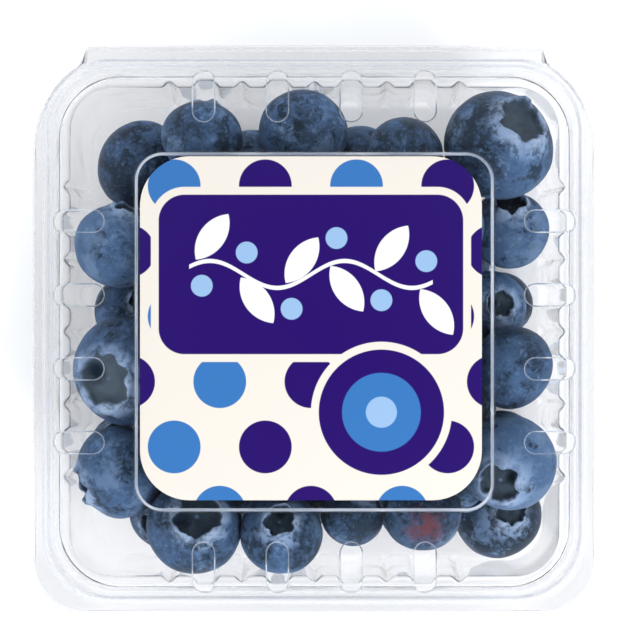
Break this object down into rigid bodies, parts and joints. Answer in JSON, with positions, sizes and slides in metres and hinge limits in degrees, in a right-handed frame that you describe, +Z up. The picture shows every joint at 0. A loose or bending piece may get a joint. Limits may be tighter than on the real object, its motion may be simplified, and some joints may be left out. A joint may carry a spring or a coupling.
{
  "type": "punnet of blueberries",
  "caption": "Shut clear hinged punnet of large blueberries with a fluted tray, vented domed lid and square dotted label.",
  "frame": {"origin": "middle of the tray's underside, on the surface the punnet stands on", "axes": "+Z up; +Y towards the hinge at the back; +X to the right seen from the front"},
  "size_m": [0.111, 0.111, 0.0394],
  "materials": {
    "clear_tray": "clear thin formed sheet, glossy",
    "clear_lid": "clear thin formed sheet, glossy",
    "berry_skin": "dark blue fruit skin under an uneven pale waxy bloom",
    "label_print": "satin coated paper, printed with dots and plain shapes"
  },
  "bodies": {
    "tray": {"tray": "clear_tray", "berries": "berry_skin"},
    "lid": {"lid": "clear_lid", "label": "label_print"}
  },
  "joints": [
    {"name": "lid_hinge", "type": "hinge", "parent": "tray", "child": "lid", "pos_m": [0, 0.0557, 0.02865], "axis": [-1, 0, 0], "range_deg": [0, 180]}
  ]
}
